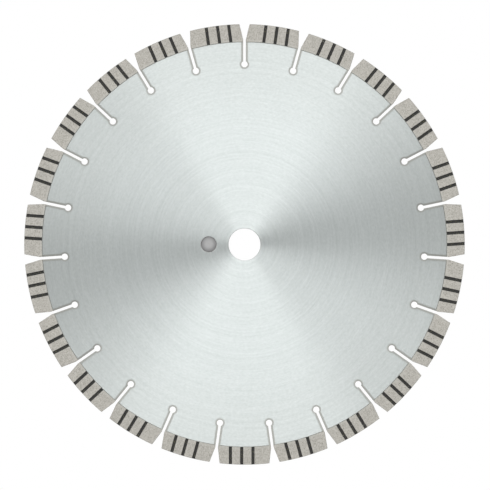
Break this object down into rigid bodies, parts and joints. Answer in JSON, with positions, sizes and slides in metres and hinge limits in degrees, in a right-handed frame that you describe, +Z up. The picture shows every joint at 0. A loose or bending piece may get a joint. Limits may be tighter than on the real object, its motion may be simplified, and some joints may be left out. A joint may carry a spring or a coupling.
{
  "type": "diamond blade",
  "caption": "Thin round saw blade with a ground steel core, cooling slots ending in keyholes, grooved diamond segments on its rim, an arbor bore and a plugged drive-pin hole.",
  "frame": {"origin": "centre of the arbor bore, half way through the steel core", "axes": "+Y along the bore's axis from the front face to the back face, +Z up through the middle of one cooling slot, +X to the right seen from the front; the blade stands on edge"},
  "size_m": [0.35, 0.0032, 0.35],
  "materials": {
    "ground_steel": "circular ground",
    "diamond_bond": "sintered metal bond with diamond grit, flanks dressed",
    "sintered_foot": "sintered metal without diamond, dressed",
    "laser_weld": "laser weld seam, fine ripples",
    "plug_polymer": "moulded, satin"
  },
  "bodies": {
    "blade": {"steel_core": "ground_steel", "segment_foot_01": "sintered_foot", "segment_foot_02": "sintered_foot", "segment_foot_03": "sintered_foot", "segment_foot_04": "sintered_foot", "segment_foot_05": "sintered_foot", "segment_foot_06": "sintered_foot", "segment_foot_07": "sintered_foot", "segment_foot_08": "sintered_foot", "segment_foot_09": "sintered_foot", "segment_foot_10": "sintered_foot", "segment_foot_11": "sintered_foot", "segment_foot_12": "sintered_foot", "segment_foot_13": "sintered_foot", "segment_foot_14": "sintered_foot", "segment_foot_15": "sintered_foot", "segment_foot_16": "sintered_foot", "segment_foot_17": "sintered_foot", "segment_foot_18": "sintered_foot", "segment_foot_19": "sintered_foot", "segment_foot_20": "sintered_foot", "segment_foot_21": "sintered_foot", "segment_foot_22": "sintered_foot", "segment_foot_23": "sintered_foot", "diamond_segment_01": "diamond_bond", "diamond_segment_02": "diamond_bond", "diamond_segment_03": "diamond_bond", "diamond_segment_04": "diamond_bond", "diamond_segment_05": "diamond_bond", "diamond_segment_06": "diamond_bond", "diamond_segment_07": "diamond_bond", "diamond_segment_08": "diamond_bond", "diamond_segment_09": "diamond_bond", "diamond_segment_10": "diamond_bond", "diamond_segment_11": "diamond_bond", "diamond_segment_12": "diamond_bond", "diamond_segment_13": "diamond_bond", "diamond_segment_14": "diamond_bond", "diamond_segment_15": "diamond_bond", "diamond_segment_16": "diamond_bond", "diamond_segment_17": "diamond_bond", "diamond_segment_18": "diamond_bond", "diamond_segment_19": "diamond_bond", "diamond_segment_20": "diamond_bond", "diamond_segment_21": "diamond_bond", "diamond_segment_22": "diamond_bond", "diamond_segment_23": "diamond_bond", "front_weld_seams": "laser_weld", "back_weld_seams": "laser_weld"},
    "plug": {"pin_hole_plug": "plug_polymer"}
  },
  "joints": [
    {"name": "plug_push_out", "type": "slide", "parent": "blade", "child": "plug", "axis": [0, -1, 0], "range_m": [0, 0.005]}
  ]
}
